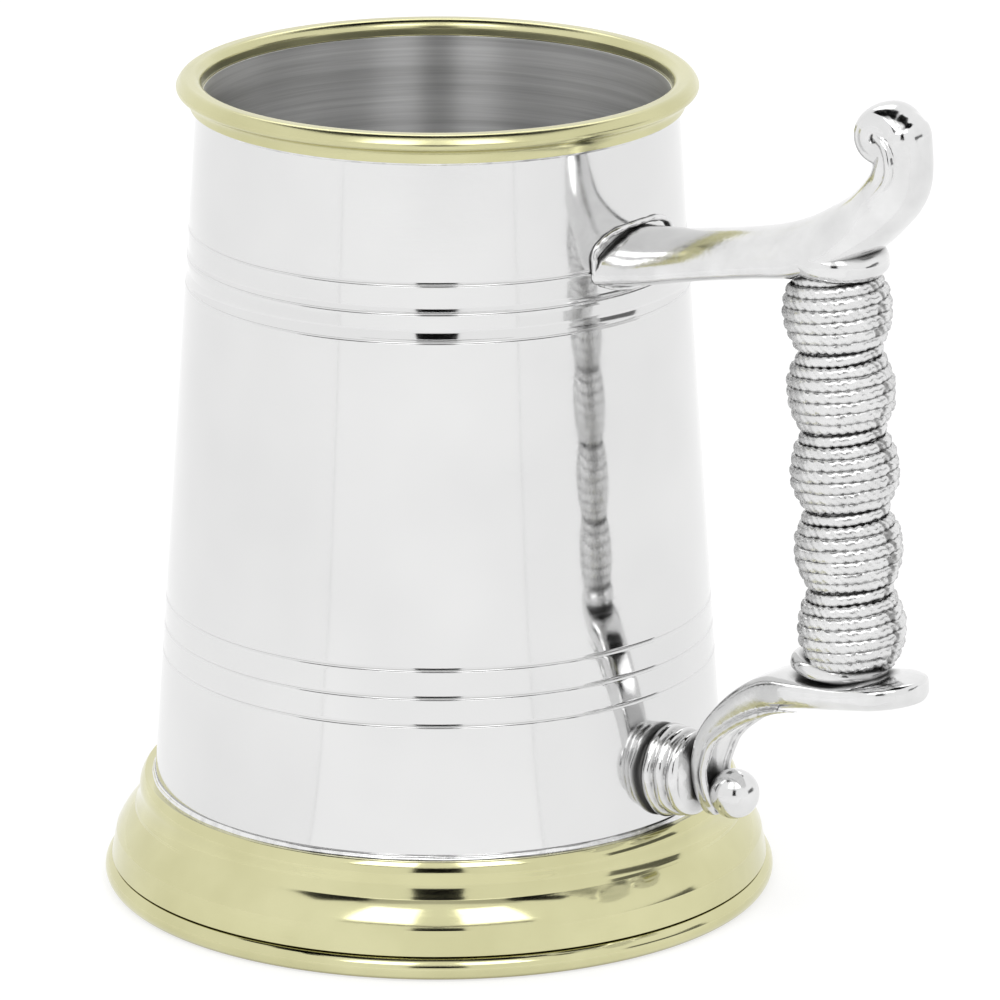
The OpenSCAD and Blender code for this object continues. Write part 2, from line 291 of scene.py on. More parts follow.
def pale_floor():
    recipe = Recipe("pale_floor")
    recipe.set(Roughness=0.9, Base_Color=(0.34, 0.34, 0.34, 1))
    recipe.set(Emission_Color=(1, 1, 1, 1), Emission_Strength=0.71)
    return recipe.material


def black_card():
    recipe = Recipe("black_card")
    recipe.set(Roughness=0.95, Base_Color=(0.004, 0.004, 0.004, 1), Specular_IOR_Level=0)
    return recipe.material


PEWTER = polished_pewter()
INSIDE = machined_pewter()
CAST = cast_pewter("cast_pewter")
ROPE = cast_pewter(
    "rope_pewter", hollow_mm=0.8, lumps_mm=0.05, shut=0.15, open_at=0.7, dark=0.17, roped=True,
    gloss_range=(0.2, 0.34)
)
BOSS = cast_pewter("boss_pewter", hollow_mm=2.6, lumps_mm=0.06, shut=0.3, open_at=0.95, dark=0.13)
BRASS = brass("brass", (0.05, 0.13))
RIM_BRASS = brass("rim_brass", (0.14, 0.26))
SOLDER = soft_solder()


# ---------------------------------------------------------------- mesh helpers

def piece(name, mesh, nodes):
    """Puts a mesh in the scene as a piece that stands for CAD nodes."""
    made = bpy.data.objects.new(name, mesh)
    scene.collection.objects.link(made)
    mesh.shade_smooth()
    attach(made, "root")
    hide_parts(*nodes)
    return made


def mesh_of(name, points_mm, faces, *materials):
    mesh = bpy.data.meshes.new(name)
    mesh.from_pydata([Vector(p) * MM for p in points_mm], [], faces)
    for material in materials:
        mesh.materials.append(material)
    shell = bmesh.new()
    shell.from_mesh(mesh)
    bmesh.ops.recalc_face_normals(shell, faces=shell.faces)
    shell.to_mesh(mesh)
    shell.free()
    return mesh


def steady_normals(made):
    """Keeps long faces flat in the shading beside narrow rounded edges."""
    modifier = made.modifiers.new("steady_normals", "WEIGHTED_NORMAL")
    modifier.keep_sharp = True
    modifier.weight = 90


def baked(made):
    """Applies a piece's modifiers to its mesh."""
    graph = bpy.context.evaluated_depsgraph_get()
    mesh = bpy.data.meshes.new_from_object(made.evaluated_get(graph))
    made.modifiers.clear()
    made.data = mesh
    mesh.shade_smooth()


def bend(outline, radius, start, end, steps=8):
    """Carries an outline on along an arc, by its outward normal's angle; a negative radius is hollow."""
    r, z = outline[-1]
    centre_r = r - radius * cos(radians(start))
    centre_z = z - radius * sin(radians(start))
    for i in range(1, steps + 1):
        a = radians(start + (end - start) * i / steps)
        outline.append((centre_r + radius * cos(a), centre_z + radius * sin(a)))


def eased(outline, radius, steps=4):
    """Rounds a closed outline's sharp corners, and leaves the nearly straight ones."""
    count = len(outline)
    nearly_straight = radians(4)
    side_share = 0.45
    out = []
    for i, here in enumerate(outline):
        here = Vector(here)
        back = Vector(outline[i - 1]) - here
        ahead = Vector(outline[(i + 1) % count]) - here
        turn = pi - back.angle(ahead)
        if turn < nearly_straight:
            out.append(tuple(here))
            continue
        cut = min(radius * tan(turn / 2), side_share * back.length, side_share * ahead.length)
        a = here + back.normalized() * cut
        b = here + ahead.normalized() * cut
        for k in range(steps + 1):
            t = k / steps
            out.append(tuple((1 - t) ** 2 * a + 2 * t * (1 - t) * here + t * t * b))
    return out


def lathe(name, outline, nodes, materials, inside=None, steps=288, wobble=None):
    """Turns a closed outline of (radius, height) about the Z axis.

    inside tells which parts of the outline take the second material, and wobble shifts a point.
    """
    count = len(outline)
    points = []
    for j in range(steps):
        a = 2 * pi * j / steps
        for r, z in outline:
            if wobble:
                r, z = wobble(r, z, a)
            points.append((r * cos(a), r * sin(a), z))
    faces = []
    for j in range(steps):
        k = (j + 1) % steps
        for i in range(count):
            n = (i + 1) % count
            faces.append((j * count + i, j * count + n, k * count + n, k * count + i))
    mesh = mesh_of(name, points, faces, *materials)
    if inside:
        for face in mesh.polygons:
            centre = face.center / MM
            if inside(hypot(centre.x, centre.y), centre.z):
                face.material_index = 1
    made = piece(name, mesh, nodes)
    steady_normals(made)
    return made


def sweep(rings):
    """Points and faces of a closed tube through rings of points."""
    sides = len(rings[0])
    points = [p for ring in rings for p in ring]
    faces = []
    for i in range(len(rings) - 1):
        for k in range(sides):
            a, b = i * sides + k, i * sides + (k + 1) % sides
            faces.append((a, a + sides, b + sides, b))
    last = (len(rings) - 1) * sides
    faces.append(tuple(range(sides)))
    faces.append(tuple(range(last + sides - 1, last - 1, -1)))
    return points, faces


def joined(*parts):
    """Several closed tubes as one list of points and one of faces."""
    points, faces = [], []
    for more_points, more_faces in parts:
        shift = len(points)
        points += more_points
        faces += [tuple(i + shift for i in face) for face in more_faces]
    return points, faces


def between(p, q, r, s, t):
    """A smooth value a share t of the way from q to r, given the values before and after them."""
    square = 2 * p - 5 * q + 4 * r - s
    cube = 3 * q - p - 3 * r + s
    return 0.5 * (2 * q + (r - p) * t + square * t * t + cube * t ** 3)


def curve(stations, steps):
    """A smooth curve through stations of any length."""
    out = []
    last = len(stations) - 1
    for i in range(last):
        a, b = stations[max(i - 1, 0)], stations[i]
        c, d = stations[i + 1], stations[min(i + 2, last)]
        for k in range(steps):
            out.append([between(*values, k / steps) for values in zip(a, b, c, d)])
    out.append(list(stations[-1]))
    return out


def path_normal(path, i):
    a, b = path[max(i - 1, 0)], path[min(i + 1, len(path) - 1)]
    du, dv = b[0] - a[0], b[1] - a[1]
    size = hypot(du, dv)
    return -dv / size, du / size


def power(value, exponent):
    return (1 if value >= 0 else -1) * abs(value) ** exponent


def bar(path, sides=56, upper=0.8, lower=0.8):
    """Rings of a bar whose stations are [out, up, half thickness, half width, height of the widest line].

    The widest line is a share of the half thickness, up from the middle.
    """
    rings = []
    for i, (u, v, half_t, half_w, widest) in enumerate(path):
        nu, nv = path_normal(path, i)
        ring = []
        for k in range(sides):
            c, s = cos(2 * pi * k / sides), sin(2 * pi * k / sides)
            exponent = upper if s > 0 else lower
            across = half_w * power(c, exponent)
            up = half_t * (widest + (1 - widest if s > 0 else 1 + widest) * power(s, exponent))
            ring.append(on_handle(u + up * nu, across, v + up * nv))
        rings.append(ring)
    return sweep(rings)


def cord(path, radius, sides=14):
    """Rings of a round tube along points in the shared frame, with a radius at each point."""
    rings = []
    side = None
    for i, here in enumerate(path):
        along = (path[min(i + 1, len(path) - 1)] - path[max(i - 1, 0)]).normalized()
        side = side or Vector((0, 1, 0)).cross(along)
        side = (side - along * side.dot(along)).normalized()
        up = along.cross(side)
        r = radius(i / (len(path) - 1))
        rings.append([
            here + r * (cos(2 * pi * k / sides) * side + sin(2 * pi * k / sides) * up) for k in range(sides)
        ])
    return sweep(rings)


def barrel(centre, profile, sides=72):
    """A solid turned about a crosswise axis on the handle, from (across, radius) points."""
    u, v = centre
    return sweep([
        [
            on_handle(u + r * cos(2 * pi * k / sides), y, v + r * sin(2 * pi * k / sides))
            for k in range(sides)
        ]
        for y, r in profile
    ])


def cast(name, solid, nodes, voxel_mm, smooth, material=CAST, trim=0):
    """Melts overlapping solids into one casting, and trims it to the drum's wall grown by trim."""
    made = piece(name, mesh_of(name, *solid, material), nodes)
    remesh = made.modifiers.new("melt", "REMESH")
    remesh.mode = "VOXEL"
    remesh.voxel_size = voxel_mm * MM
    remesh.use_smooth_shade = True
    soften = made.modifiers.new("soften", "SMOOTH")
    soften.factor = 0.5
    soften.iterations = smooth
    baked(made)
    cutter = bpy.data.objects.new("cutter", wall_plug(trim))
    scene.collection.objects.link(cutter)
    cut = made.modifiers.new("trim", "BOOLEAN")
    cut.operation = "DIFFERENCE"
    cut.solver = "EXACT"
    cut.object = cutter
    baked(made)
    bpy.data.objects.remove(cutter)


def wall_plug(margin, steps=288):
    """A cone that fills the drum's outline, grown by a margin."""
    over = 2
    rings = []
    for z in (-over, BODY_H + over):
        r = wall_r(z) + margin
        turns = [2 * pi * k / steps for k in range(steps)]
        rings.append([Vector((r * cos(a), r * sin(a), z)) for a in turns])
    return mesh_of("wall_plug", *sweep(rings), CAST)


# ---------------------------------------------------------------- the drum

def ring_groove(z, dip_h):
    """Outline of one incised ring, upwards, with the shallow dip that the tool left above it."""
    depth = 0.25
    dip = 0.22 * dip_h
    foot_z, root_z, top_z = z - 0.95, z - 0.75, z - 0.5
    outline = [(wall_r(foot_z), foot_z), (wall_r(root_z) - depth, root_z), (wall_r(top_z), top_z)]
    steps = 8
    for k in range(1, steps + 1):
        t = k / steps
        outline.append((wall_r(top_z + dip_h * t) - dip * (1 - (1 - t) ** 2), top_z + dip_h * t))
    back_z = top_z + RING_PITCH - 1
    outline.append((wall_r(back_z), back_z))
    return outline


def drum():
    low_z, top_z = low("drum").z, high("drum").z
    ring_heights = [
        middle + k * RING_PITCH for middle in (LOW_RING_Z, BODY_H - HIGH_RING_DROP) for k in (-1, 0, 1)
    ]
    outer = [(wall_r(low_z), low_z)]
    dips = (0.35, 0.35, 0.35, 1.7, 0.8, 0.35)
    for z, dip_h in zip(ring_heights, dips):
        outer += ring_groove(z, dip_h)
    outer.append((wall_r(top_z), top_z))
    inner = [(wall_r(z) - WALL_T, z) for z in (top_z, (top_z + low_z) / 2, low_z)]
    lathe(
        "drum_wall", eased(outer + inner, 0.12), ["drum"], [PEWTER, INSIDE],
        inside=lambda r, z: r < wall_r(z) - WALL_T / 2
    )


def rim():
    """Crest, sloping face, tight outer edge, cove and lip, then the lip inside the mouth."""
    inner_lip_t, inner_lip_z = 0.3, high("drum").z
    lip_r = wall_r(RIM_LOW_Z) + 0.9
    undercut, crest_r = 75, 1.5
    outline = [(wall_r(BODY_H) + 1.65, BODY_H)]
    bend(outline, 1.2, 90, 40)
    bend(outline, 3.4, 40, 24)
    bend(outline, 0.85, 24, -undercut, 12)
    cove_r = (outline[-1][0] - lip_r) / (1 - cos(radians(undercut)))
    bend(outline, -cove_r, -undercut, 0, 10)
    # The moulding is stretched outward, about as far as the CAD rim reaches
    short_by = high("rim_moulding").x - max(r for r, z in outline)
    outline = [(r + short_by * (r - lip_r) / 2, z) for r, z in outline]
    outline += [
        (lip_r, RIM_LOW_Z), (wall_r(RIM_LOW_Z), RIM_LOW_Z), (wall_r(inner_lip_z), inner_lip_z),
        (wall_r(inner_lip_z) - WALL_T + inner_lip_t, inner_lip_z)
    ]
    outline.append((outline[-1][0], BODY_H - crest_r))
    bend(outline, crest_r, 180, 90, 10)
    lathe("rim_band", eased(outline, 0.14), ["rim_moulding"], [RIM_BRASS])


def unsteady(depth, size):
    """A hand-laid run of solder: small lumps along its length."""
    def shifted(r, z, a):
        lump = noise.noise(Vector((r * cos(a), r * sin(a), z * 3)) / size)
        return r + depth * max(lump, -0.6) * (r > wall_r(z) + 0.08), z
    return shifted


def rim_solder():
    low_z = low("rim_solder").z
    outline = [(wall_r(low_z) - 0.02, low_z), (wall_r(low_z) + 0.16, low_z + 0.05)]
    outline += [(wall_r(RIM_LOW_Z) + 0.55, RIM_LOW_Z), (wall_r(RIM_LOW_Z) - 0.02, RIM_LOW_Z)]
    lumps = unsteady(0.14, 3)
    lathe("rim_solder_line", eased(outline, 0.12), ["rim_solder"], [SOLDER], wobble=lumps)


def foot():
    """Band, shoulder, cove, neck and roll, and the hollow underside."""
    band_low_z = low("foot_moulding").z
    band_r = high("foot_moulding").x
    shoulder_z, shoulder_arc_r = 7.5, 11
    shoulder_r = band_r - 0.8
    neck_r = wall_r(FOOT_TOP_Z) + 2.5
    neck_z = FOOT_TOP_Z - 2.3
    sheet_t = 1.5
    outline = [(band_r, band_low_z + 0.05), (shoulder_r, shoulder_z)]
    bend(outline, shoulder_arc_r, 24, 50, 14)
    top_r, top_z = outline[-1]
    cove_to = 27
    cove_r = (neck_z - top_z - 0.5) / sin(radians(cove_to))
    outline.append((neck_r + cove_r * (1 - cos(radians(cove_to))), top_z + 0.5))
    bend(outline, -cove_r, cove_to, 3, 10)
    outline.append((outline[-1][0], neck_z + 0.25))
    bend(outline, 3.5, 3, 40, 12)
    bend(outline, 0.3, 40, 90, 4)
    outline += [
        (wall_r(FOOT_TOP_Z), FOOT_TOP_Z), (wall_r(neck_z - sheet_t), neck_z - sheet_t),
        (top_r - sheet_t, top_z - sheet_t), (shoulder_r - sheet_t, shoulder_z),
        (band_r - sheet_t, band_low_z)
    ]
    lathe("foot_band", eased(outline, 0.12), ["foot_moulding"], [BRASS])


def foot_bead():
    """A turned wire ring with a flat where it stands."""
    centre_r = high("foot_ring").x - BEAD_R
    centre_z = BEAD_R - 0.35
    flat = degrees(asin(centre_z / BEAD_R))
    outline = []
    for i in range(49):
        a = radians(-flat + (180 + 2 * flat) * i / 48)
        outline.append((centre_r + BEAD_R * cos(a), centre_z + BEAD_R * sin(a)))
    lathe("foot_bead", eased(outline, 0.08), ["foot_ring"], [BRASS])


def foot_solder():
    top_z = high("foot_solder").z
    low_z, wall = FOOT_TOP_Z - 0.05, wall_r(FOOT_TOP_Z)
    outline = [(wall - 0.02, low_z), (wall + 0.65, low_z)]
    bend(outline, -0.6, 75, 6, 8)
    outline.append((wall_r(top_z) - 0.02, top_z))
    lumps = unsteady(0.12, 5)
    lathe("foot_solder_line", outline, ["foot_solder"], [SOLDER], wobble=lumps)


# ---------------------------------------------------------------- the handle

def arm_stations():
    """Stations of the arm, out from the drum and round the back of the horn's curl."""
    stations = [
        [-4, ARM_V - 0.3, ARM_T + 0.8, ARM_ROOT_W + 1, -0.4],
        [1, ARM_V - 0.2, ARM_T + 0.4, ARM_ROOT_W - 0.5, -0.42],
        [0.18 * GRIP_U, ARM_V + 0.2, ARM_T + 0.1, ARM_ROOT_W - 0.9, -0.45],
        [0.36 * GRIP_U, ARM_V + 1, ARM_T - 0.1, ARM_W + 1.9, -0.45],
        [0.68 * GRIP_U, ARM_V + 2.4, ARM_T, ARM_W + 1, -0.42],
        [GRIP_U - 4, ARM_V + 3.8, ARM_T + 0.5, ARM_W + 1.4, -0.5],
        [GRIP_U + 2.6, ARM_V + 6.4, ARM_T + 0.8, ARM_W + 0.7, -0.42],
        [GRIP_U + 8.1, ARM_V + 9.9, ARM_T + 0.7, ARM_W - 1.1, 0.15],
        [GRIP_U + 12.4, ARM_V + 14.7, ARM_T + 0.7, CURL_W + 0.9, 0.3]
    ]
    curl_u, curl_v = GRIP_U + 11.4, ARM_V + 21.7
    tightening = 0.017
    for angle, half_t, half_w in (
        (-12, 3.7, 4.5), (14, 3.2, 4.3), (40, 2.8, 4), (66, 2.3, 3.6), (92, 1.8, 3.2)
    ):
        outer_r = CURL_R + 0.9 - tightening * (angle + 12)
        middle_r, a = outer_r - half_t, radians(angle)
        stations.append([curl_u + middle_r * cos(a), curl_v + middle_r * sin(a), half_t, half_w, 0.25])
    return stations


def horn_eye():
    """The rounded end of the horn: a crosswise barrel with a dimple in each face."""
    end_w, end_r, middle_r = CURL_W + 0.45, 3.1, CURL_R - 0.35
    face = [(0.8 - end_w, 0.45), (-end_w, 0.8), (0.03 - end_w, end_r - 0.9), (0.3 - end_w, end_r - 0.25)]
    crown = [
        (y, end_r + (middle_r - end_r) * sqrt(max(0, 1 - (y / (end_w - 0.2)) ** 2)))
        for y in [0.2 * k * (end_w - 0.45) for k in range(-5, 6)]
    ]
    far_face = [(-y, r) for y, r in reversed(face)]
    return barrel((GRIP_U + 11, ARM_V + 22.2), face + crown + far_face)


def horn_ridge(side):
    """The raised line on one side of the horn, up into its eye."""
    ridge = [
        [GRIP_U + 8.6, side * (ARM_W - 1.9), ARM_V + 11.2],
        [GRIP_U + 11.9, side * (CURL_W + 0.75), ARM_V + 14.3],
        [GRIP_U + 13.7, side * (CURL_W + 0.85), ARM_V + 16.5],
        [GRIP_U + 13.9, side * (CURL_W + 0.8), ARM_V + 18.8],
        [GRIP_U + 13, side * (CURL_W + 0.6), ARM_V + 21.4],
        [GRIP_U + 11.2, side * (CURL_W + 0.35), ARM_V + 22.7]
    ]
    path = [on_handle(*place) for place in curve(ridge, 10)]
    return cord(path, lambda t: 0.3 + 0.4 * sin(pi * min(1, 0.1 + 0.75 * t)))


def thumb_arm():
    """The arm and its horn, with the curl at the top and the ridges that wind into it."""
    parts = [bar(curve(arm_stations(), 10), upper=1.08, lower=0.8), horn_eye()]
    parts += [horn_ridge(side) for side in (-1, 1)]
    cast("thumb_arm_cast", joined(*parts), ["thumb_arm", "horn_curl"], 0.22, 6, trim=0.05)


def upper_pad():
    """The soldered lip round the arm's root, laid on the drum's wall."""
    path = []
    count = 120
    for i in range(count + 1):
        a = 2 * pi * i / count
        y = (ARM_ROOT_W - 0.2) * power(cos(a), 0.75)
        v = ARM_V - 0.2 + (ARM_T + 0.9) * power(sin(a), 0.75)
        z = v * cos(WALL_SLOPE)
        r = wall_r(z) + 0.25 + 0.2 * noise.noise(Vector((y, z, 0)) * 0.7)
        path.append(Vector((sqrt(r * r - y * y), y, z)))

    def thickness(t):
        return 0.5 + 0.05 * sin(14 * pi * t) + 0.04 * sin(34 * pi * t)

    cast("upper_pad_lip", cord(path, thickness), ["upper_pad"], 0.22, 4)


def ferrule(name, node, u, v, r, half_t, seed, squeeze=1, tilt=FERRULE_TILT):
    """A leaning rounded washer, a little uneven as it was cast."""
    turned = []
    for i in range(25):
        a = radians(-90 + 180 * i / 24)
        turned.append((r - half_t + half_t * cos(a), half_t * sin(a)))
    turned = [(0.3 * (r - half_t), -half_t)] + turned + [(0.3 * (r - half_t), half_t)]
    lean = Matrix.Rotation(radians(tilt), 3, "Y")
    rings = []
    sides = 96
    for radius, up in turned:
        ring = []
        for k in range(sides):
            a = 2 * pi * k / sides
            dent = 1 + 0.025 * noise.noise(Vector((cos(a), sin(a), up * 0.4 + seed)) * 2.2)
            place = lean @ Vector((radius * dent * cos(a), radius * dent * squeeze * sin(a), up))
            ring.append(on_handle(u + place.x, place.y, v + place.z))
        rings.append(ring)
    made = piece(name, mesh_of(name, *sweep(rings), CAST), [node])
    steady_normals(made)


def ferrules():
    """The washers at the two ends of the grip."""
    ferrule(
        "upper_ferrule_washer", "upper_ferrule", GRIP_U, GRIP_TOP_V + 2.2,
        WAIST_R + 2.1, 2.4, 1.3, tilt=FERRULE_TILT + 3
    )
    ferrule(
        "lower_ferrule_washer", "lower_ferrule", GRIP_U - 2.6, GRIP_LOW_V,
        WAIST_R + 1.6, 1.35, 5.1, squeeze=0.88
    )


def bulb_arc():
    """Height of one bulb, the radius of its arc and where the arc's centre lies."""
    height = (GRIP_TOP_V - GRIP_LOW_V) / BULBS
    arc_r = (height * height / 4 + BULGE * BULGE) / (2 * BULGE)
    return height, arc_r, BULB_R - arc_r


def grip_binding():
    """One run of three-strand rope wound up the five bulbs, worn, with a shallow mould line dented down its
    outer side; that side is darkened as painted shade, and the hollows between the strands are patinated
    and darkened with painted shade.
    """
    height, arc_r, arc_u = bulb_arc()
    half = asin(height / 2 / arc_r)
    rope_r = 1.02 * arc_r * half / TURNS
    line_r = arc_r - rope_r
    strands, lobes_per_turn = 3, 31
    steps_per_turn, sides = 155, 14
    shaded_side_w, seam_depth = 0.36, 0.25
    cross = 0.5

    def on_bulb(bulb, within):
        lean = (2 * within - 1) * half
        up = GRIP_LOW_V + (bulb + 0.5) * height + line_r * sin(lean)
        return Vector((arc_u + line_r * cos(lean), up, lean))

    def centre_line(turn):
        """How far out and how high the rope lies, and its lean, crossing a waist in one turn."""
        waist = round(turn / TURNS)
        since = turn - waist * TURNS
        if 0 < waist < BULBS and abs(since) < cross:
            before, after = on_bulb(waist - 1, 1 - cross / TURNS), on_bulb(waist, cross / TURNS)
            return before.lerp(after, since + cross)
        bulb = min(int(turn / TURNS), BULBS - 1)
        return on_bulb(bulb, turn / TURNS - bulb)

    rings = []
    grooves_and_shade = []
    for i in range(TURNS * BULBS * steps_per_turn + 1):
        turn = i / steps_per_turn
        spin = 2 * pi * turn
        out, up, lean = centre_line(turn)
        here = Vector((out * cos(spin), out * sin(spin), up))
        worn = noise.noise(here * 0.45)
        rough = 0.5 + noise.noise(here * 0.8 + Vector((40, 0, 0)))
        radial = Vector((cos(spin), sin(spin)))
        from_waist = abs(turn - round(turn / TURNS) * TURNS)
        # The outer side, away from the drum: dented a little and darkened as painted shade
        shaded_side = max(0, 1 - abs(radial.y) / shaded_side_w) * (radial.x > 0)
        lobe = 0.36 * min(1, 0.6 + from_waist) * max(0.25, min(1, 0.4 + rough))
        shown = max(0.3, min(1, 0.45 + rough)) * min(1, 0.6 + from_waist)
        thick_r = rope_r * (1 + 0.12 * worn) * min(1, 0.86 + 0.28 * from_waist)
        tilt = lean * min(1, 2 * from_waist)
        phase = lobes_per_turn * spin
        ring = []
        for k in range(sides):
            b = 2 * pi * k / sides
            strand = abs(cos((strands * b + phase) / 2))
            # Darkness for the rope's material: patinated hollows with painted shade between the strands,
            # and painted shade down the outer side
            grooves_and_shade.append(max((1 - strand) * shown, shaded_side * (1.6 - strand) * (0.5 + rough)))
            r = thick_r * (1 + lobe * (strand - 0.7))
            flat = 0.84 if cos(b) > 0 else 1
            across = (r * cos(b) * cos(tilt) - r * sin(b) * sin(tilt)) * flat
            reach = out + across + 0.16 * worn - seam_depth * shaded_side * rough
            rise = up + r * sin(b) * cos(tilt) * 1.04 + r * cos(b) * sin(tilt) + 0.08 * rough
            ring.append(on_handle(GRIP_U + reach * radial.x, reach * radial.y, rise))
        rings.append(ring)
    mesh = mesh_of("grip_rope", *sweep(rings), ROPE)
    mesh.attributes.new("groove_and_shade", "FLOAT", "POINT").data.foreach_set("value", grooves_and_shade)
    piece("grip_rope", mesh, ["grip_binding"])


def lower_bracket():
    """The tongue and the scroll, with a raised rim along each edge of the scroll."""
    tongue_v = GRIP_LOW_V - 3.8
    tongue_rise = 0.09
    tip_u = GRIP_U + 4.6
    stations = [
        [BALL_U - 2, BALL_V - 2.2, 1.2, 2.6, 0],
        [9.3, BOSS_V - 3.9, 1.5, 2.9, 0],
        [8.1, BOSS_V + 0.2, 1.7, 3.2, 0],
        [8.8, BOSS_V + 3.9, 1.8, 3.6, 0],
        [11.1, BOSS_V + 8.2, 2, 4.1, 0],
        [16.7, tongue_v - 4.4, 2.6, 4.9, 0],
        [22.8, tongue_v - 1.4, 3, 5.8, 0],
        [28.5, tongue_v - 0.4, 2.7, TONGUE_W - 0.5, 0],
        [GRIP_U, tongue_v, TONGUE_T, TONGUE_W, 0.2],
        [tip_u, tongue_v + tongue_rise * (tip_u - GRIP_U), TONGUE_T, TONGUE_W, 0.2]
    ]
    tip = stations[-1]
    steps = 12
    round_tip = []
    for k in range(1, steps):
        a = pi / 2 * k / steps
        round_tip.append([
            tip[0] + TONGUE_W * sin(a), tip[1] + tongue_rise * TONGUE_W * sin(a),
            TONGUE_T * (0.55 + 0.45 * cos(a)), TONGUE_W * cos(a), 0.2
        ])
    path = curve(stations, 10)
    parts = [bar(path + round_tip, upper=0.5, lower=0.75)]
    rim_r = 0.75
    first, last = 2, 74
    for side in (-1, 1):
        rim_path = []
        for i in range(first, last):
            u, v, half_t, half_w = path[i][:4]
            nu, nv = path_normal(path, i)
            lift = -(half_t - 0.45)
            rim_path.append(on_handle(u + lift * nu, side * (half_w - 0.25), v + lift * nv))
        parts.append(cord(rim_path, lambda t: rim_r * min(1, 0.45 + 3 * t, 3.2 * (1 - t) + 0.2)))
    cast("lower_bracket_cast", joined(*parts), ["lower_bracket"], 0.26, 5, trim=0.05)


def scroll_ball():
    """A cast ball, a little egg-shaped."""
    rings = []
    sides, levels = 72, 48
    for i in range(1, levels):
        a = -pi / 2 + pi * i / levels
        ring = []
        for k in range(sides):
            b = 2 * pi * k / sides
            way = Vector((cos(a) * cos(b), cos(a) * sin(b), sin(a)))
            r = BALL_R * (1.03 + 0.012 * noise.noise(way * 1.7))
            ring.append(on_handle(BALL_U + r * way.x, r * way.y, BALL_V + r * way.z))
        rings.append(ring)
    name = "scroll_ball_cast"
    piece(name, mesh_of(name, *sweep(rings), CAST), ["scroll_ball"])


def reeded_boss():
    """Three reeds on a horizontal axis, filed unevenly, with deep recesses between them."""
    reeds = 3
    reed_r = BOSS_LEN / reeds / 2
    step_in = 0.3
    turned = [(-2.5, BOSS_R - reed_r - 1.2)]
    for i in range(reeds):
        for k in range(15):
            a = radians(-88 + 176 * k / 14)
            radius = BOSS_R - reed_r - i * step_in
            turned.append((reed_r * (2 * i + 1) + 0.94 * reed_r * sin(a), radius + reed_r * cos(a)))
        if i < reeds - 1:
            turned.append((reed_r * (2 * i + 2), BOSS_R - reed_r * 1.8 - i * step_in))
    turned.append((BOSS_LEN + 0.6, BOSS_R - 3.2))
    sides = 96
    rings = []
    for out, radius in turned:
        ring = []
        for k in range(sides):
            a = 2 * pi * k / sides
            dent = 1 + 0.03 * noise.noise(Vector((2.4 * cos(a), 2.4 * sin(a), out * 0.5)))
            lean = 0.16 * noise.noise(Vector((1.6 * cos(a), 1.6 * sin(a), 7.3 + out * 0.3)))
            ring.append(on_handle(out + lean, radius * dent * cos(a), BOSS_V + radius * dent * sin(a)))
        rings.append(ring)
    cast("reeded_boss_cast", sweep(rings), ["reeded_boss"], 0.2, 2, BOSS)


# ---------------------------------------------------------------- the studio

# Height that the studio's angles are measured from, in metres
AIM_Z = 0.06


def camera():
    """Looks at the tankard from the handle's near side, from a little above."""
    azimuth, elevation, distance_mm = radians(37), radians(16.566), 1272.37
    view = Vector((sin(azimuth) * cos(elevation), -cos(azimuth) * cos(elevation), sin(elevation)))
    aim = Vector((7.728, 5.823, 61.128)) * MM
    data = bpy.data.cameras.new("camera")
    data.sensor_width = 36
    data.lens = 291.2
    data.clip_start, data.clip_end = 0.05, 60
    made = bpy.data.objects.new("camera", data)
    made.location = aim + view * distance_mm * MM
    made.rotation_euler = view.to_track_quat("Z", "Y").to_euler()
    scene.collection.objects.link(made)
    scene.camera = made
    return azimuth


def glow(name, strength):
    """A plain bright surface, for softboxes and paper seen in reflections."""
    recipe = Recipe(name)
    recipe.set(Base_Color=(0, 0, 0, 1), Roughness=1, Specular_IOR_Level=0)
    recipe.set(Emission_Color=(1, 1, 1, 1), Emission_Strength=strength)
    return recipe.material


def toward(azimuth, bearing, elevation, distance):
    """A place seen from the tankard at a bearing from the camera and an elevation, in degrees."""
    a, e = azimuth + radians(bearing), radians(elevation)
    return Vector((sin(a) * cos(e), -cos(a) * cos(e), sin(e))) * distance + Vector((0, 0, AIM_Z))


def window(name, azimuth, bearings, elevations, distance, material):
    """A panel between two bearings and two elevations."""
    (left, right), (bottom, top) = bearings, elevations
    corners = [(left, bottom), (right, bottom), (right, top), (left, top)]
    panel(name, [toward(azimuth, b, e, distance) for b, e in corners], material)


def panel(name, corners, material):
    """A flat backdrop seen only in reflections."""
    mesh = bpy.data.meshes.new(name)
    mesh.from_pydata(corners, [], [tuple(range(len(corners)))])
    mesh.materials.append(material)
    made = bpy.data.objects.new(name, mesh)
    made.visible_camera = False
    made.visible_shadow = False
    scene.collection.objects.link(made)


def card(name, azimuth, spread, low_angle, high_angle, distance, material):
    """An upright black card across the given angles, in degrees."""
    centre = Vector((sin(azimuth), -cos(azimuth), 0)) * distance
    across = Vector((cos(azimuth), sin(azimuth), 0)) * distance * tan(radians(spread))
    z0 = AIM_Z + distance * tan(radians(low_angle))
    z1 = AIM_Z + distance * tan(radians(high_angle))
    corners = [centre - across + Vector((0, 0, z0)), centre + across + Vector((0, 0, z0))]
    corners += [centre + across + Vector((0, 0, z1)), centre - across + Vector((0, 0, z1))]
    panel(name, corners, material)


def level(azimuth, bearing, distance, z):
    """A place at a height, out from the middle at a bearing from the camera in degrees."""
    place = toward(azimuth, bearing, 0, distance)
    return Vector((place.x, place.y, z))


